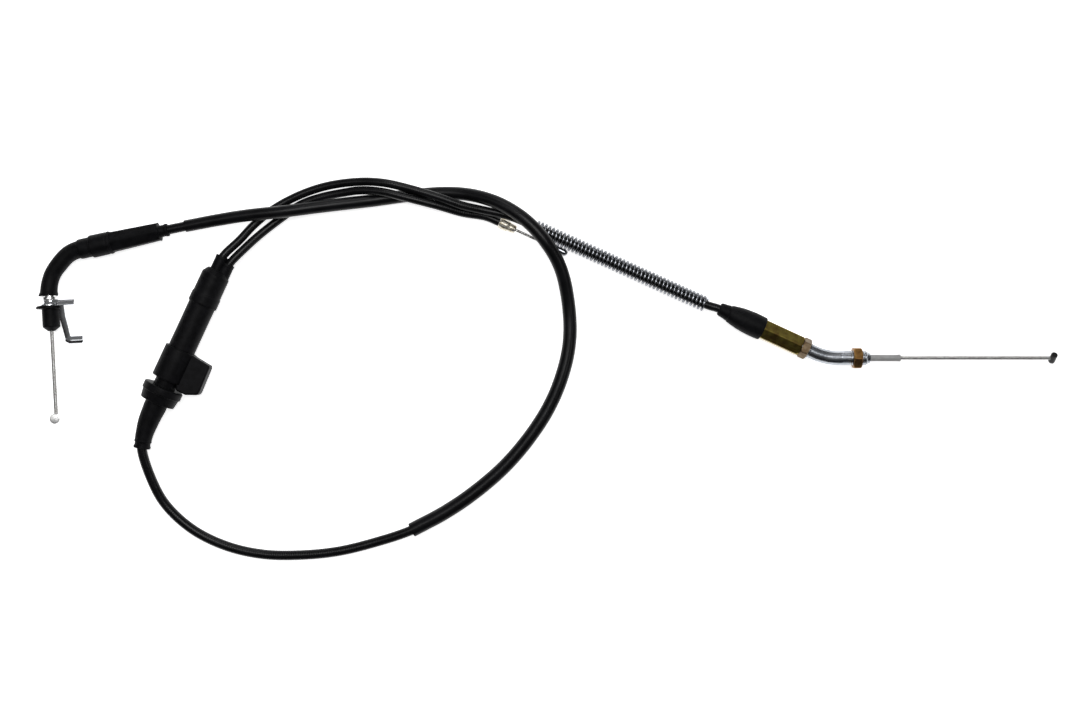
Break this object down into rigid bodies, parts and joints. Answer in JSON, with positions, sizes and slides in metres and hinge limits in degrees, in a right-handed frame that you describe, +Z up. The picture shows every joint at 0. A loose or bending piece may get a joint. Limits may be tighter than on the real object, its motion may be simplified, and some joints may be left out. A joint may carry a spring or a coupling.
{
  "type": "throttle cable with splitter",
  "caption": "Motorcycle throttle cable with a grip-end elbow, a splitter box, a carburettor branch with a spring guard and a bent threaded end, and an oil pump branch.",
  "frame": {"origin": "middle of the rigid pieces' outline on the surface the cable lies on", "axes": "+X from the grip end towards the carburettor end, +Y across the loop away from the free end of the loop, +Z up from the surface"},
  "size_m": [0.5408, 0.2035, 0.0211],
  "materials": {
    "black_rubber": "matte moulded rubber",
    "black_plastic": "moulded, dull",
    "casing_black": "extruded PVC over a steel lay, glossy",
    "sleeve_black": "shrunk tube, satin gloss",
    "wire": "stranded steel, bright",
    "zinc": "zinc plated",
    "chrome_plate": "bright plated",
    "brass": "machined brass, lightly tarnished",
    "passivated": "yellow passivated steel",
    "orange_passivated": "dark yellow passivated steel",
    "liner_grey": "nylon, dull",
    "nylon": "natural nylon",
    "dark_nipple": "blackened steel",
    "ferrule_steel": "plated, crimped"
  },
  "bodies": {
    "cable_body": {"grip_plug": "black_plastic", "grip_bead": "zinc", "grip_elbow_tube": "zinc", "grip_elbow_cover": "black_rubber", "grip_boot": "black_rubber", "throttle_casing": "casing_black", "throttle_sleeve": "sleeve_black", "splitter_boot": "black_rubber", "splitter_collar": "black_plastic", "splitter_housing": "black_plastic", "splitter_barrel": "black_plastic", "splitter_cap": "black_plastic", "carb_casing": "casing_black", "spring_guard": "chrome_plate", "oil_casing": "casing_black", "oil_ferrule": "ferrule_steel", "carb_casing_ferrule": "zinc"},
    "bracket": {"grip_bracket": "chrome_plate"},
    "grip_wire_set": {"grip_wire": "wire", "grip_nipple": "zinc"},
    "slider": {"splitter_slider": "nylon", "slider_throttle_wire": "wire", "slider_throttle_nipple": "zinc", "slider_carb_wire": "wire", "slider_carb_nipple": "zinc", "slider_oil_wire": "wire", "slider_oil_nipple": "zinc"},
    "adjuster_body": {"carb_adjuster": "brass", "carb_boot": "black_rubber"},
    "elbow_body": {"carb_elbow": "chrome_plate", "carb_liner": "liner_grey"},
    "lock_nut_body": {"adjuster_lock_nut": "passivated"},
    "top_nut_body": {"carb_top_nut": "orange_passivated"},
    "carb_wire_set": {"carb_wire": "wire", "carb_nipple": "dark_nipple"},
    "oil_wire_set": {"oil_wire": "wire", "oil_nipple": "zinc"},
    "grip_adjuster_body": {"grip_adjuster": "zinc"},
    "grip_lock_nut_body": {"grip_lock_nut": "zinc"}
  },
  "joints": [
    {"name": "throttle_pull", "type": "slide", "parent": "cable_body", "child": "grip_wire_set", "axis": [0.0523, -0.9986, 0], "range_m": [0, 0.016]},
    {"name": "slider_slide", "type": "slide", "parent": "cable_body", "child": "slider", "axis": [-0.4202, -0.9074, 0], "range_m": [0, 0.016]},
    {"name": "carb_pull", "type": "slide", "parent": "elbow_body", "child": "carb_wire_set", "axis": [-1, 0, 0], "range_m": [0, 0.016]},
    {"name": "oil_pull", "type": "slide", "parent": "cable_body", "child": "oil_wire_set", "axis": [-0.9063, 0.4226, 0], "range_m": [0, 0.016]},
    {"name": "bracket_swivel", "type": "hinge", "parent": "cable_body", "child": "bracket", "pos_m": [-0.26272, 0.01703, 0.008], "axis": [0.0523, -0.9986, 0], "range_deg": [-180, 180]},
    {"name": "carb_adjust", "type": "slide", "parent": "cable_body", "child": "elbow_body", "axis": [0.9078, -0.4195, 0], "range_m": [0, 0.004]},
    {"name": "adjuster_turn", "type": "hinge", "parent": "cable_body", "child": "adjuster_body", "pos_m": [0.12117, 0.00028, 0.0065], "axis": [0.9078, -0.4195, 0], "range_deg": [0, 1440]},
    {"name": "lock_nut_turn", "type": "hinge", "parent": "elbow_body", "child": "lock_nut_body", "pos_m": [0.13723, -0.00714, 0.0065], "axis": [0.9078, -0.4195, 0], "continuous": true},
    {"name": "top_nut_turn", "type": "hinge", "parent": "elbow_body", "child": "top_nut_body", "pos_m": [0.1652, -0.0123, 0.0065], "axis": [1, 0, 0], "continuous": true},
    {"name": "grip_adjuster_turn", "type": "hinge", "parent": "cable_body", "child": "grip_adjuster_body", "pos_m": [-0.21518, 0.05232, 0.008], "axis": [0.9763, 0.2164, 0], "continuous": true},
    {"name": "grip_lock_nut_turn", "type": "hinge", "parent": "cable_body", "child": "grip_lock_nut_body", "pos_m": [-0.23715, 0.04745, 0.008], "axis": [0.9763, 0.2164, 0], "continuous": true}
  ],
  "couplings": [
    {"joint": "slider_slide", "follows": "throttle_pull", "ratio": 1},
    {"joint": "carb_pull", "follows": "throttle_pull", "ratio": 1},
    {"joint": "oil_pull", "follows": "throttle_pull", "ratio": 1},
    {"joint": "adjuster_turn", "follows": "carb_adjust", "rad_per_m": 6283.2}
  ]
}
